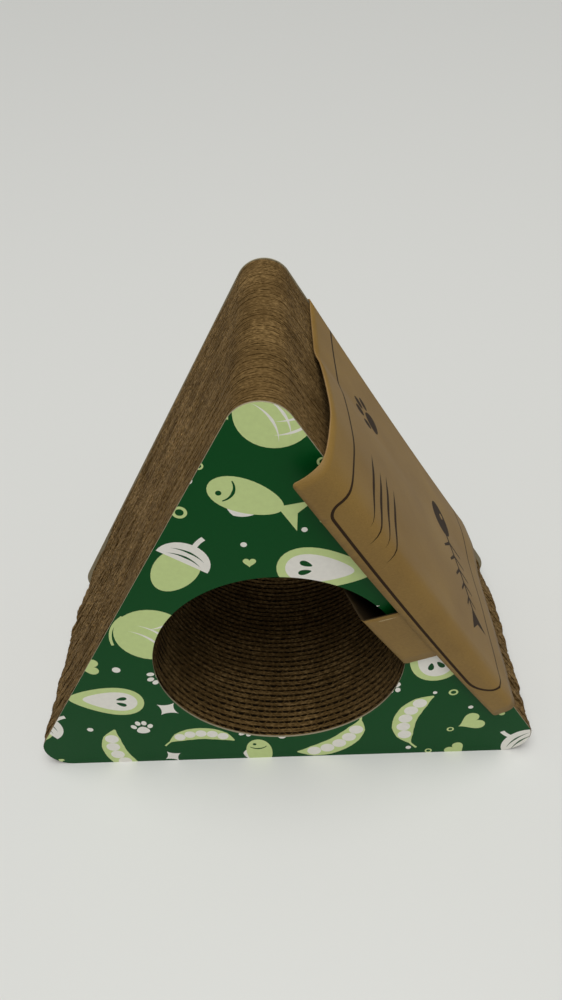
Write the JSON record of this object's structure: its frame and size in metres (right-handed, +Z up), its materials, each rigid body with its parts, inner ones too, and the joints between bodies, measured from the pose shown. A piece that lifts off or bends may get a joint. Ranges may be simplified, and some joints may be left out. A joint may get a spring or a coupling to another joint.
{
  "type": "triangular cat scratcher",
  "caption": "Triangular cat scratcher block of glued corrugated card sheets with a round tunnel, printed end covers and a loose kraft-board sleeve round one leg.",
  "frame": {"origin": "on the floor, under the middle of the block", "axes": "+X to the right along the base, +Y from the front cover to the back cover, +Z up"},
  "size_m": [0.3058, 0.1654, 0.2693],
  "materials": {
    "corrugated_card": "raw cut edges of brown C-flute board",
    "printed_card": "printed, satin, green ground with pale motifs",
    "kraft_board": "uncoated brown kraft board"
  },
  "bodies": {
    "block": {"front_cover": "printed_card", "sheet_01": "corrugated_card", "sheet_02": "corrugated_card", "sheet_03": "corrugated_card", "sheet_04": "corrugated_card", "sheet_05": "corrugated_card", "sheet_06": "corrugated_card", "sheet_07": "corrugated_card", "sheet_08": "corrugated_card", "sheet_09": "corrugated_card", "sheet_10": "corrugated_card", "sheet_11": "corrugated_card", "sheet_12": "corrugated_card", "sheet_13": "corrugated_card", "sheet_14": "corrugated_card", "sheet_15": "corrugated_card", "sheet_16": "corrugated_card", "sheet_17": "corrugated_card", "sheet_18": "corrugated_card", "sheet_19": "corrugated_card", "sheet_20": "corrugated_card", "sheet_21": "corrugated_card", "sheet_22": "corrugated_card", "sheet_23": "corrugated_card", "sheet_24": "corrugated_card", "sheet_25": "corrugated_card", "sheet_26": "corrugated_card", "sheet_27": "corrugated_card", "sheet_28": "corrugated_card", "sheet_29": "corrugated_card", "sheet_30": "corrugated_card", "sheet_31": "corrugated_card", "sheet_32": "corrugated_card", "sheet_33": "corrugated_card", "sheet_34": "corrugated_card", "sheet_35": "corrugated_card", "sheet_36": "corrugated_card", "sheet_37": "corrugated_card", "back_cover": "printed_card"},
    "sleeve": {"sleeve": "kraft_board"}
  },
  "joints": [
    {"name": "sleeve_slide", "type": "slide", "parent": "block", "child": "sleeve", "axis": [-0.5, 0, 0.866], "range_m": [0, 0.013]}
  ]
}
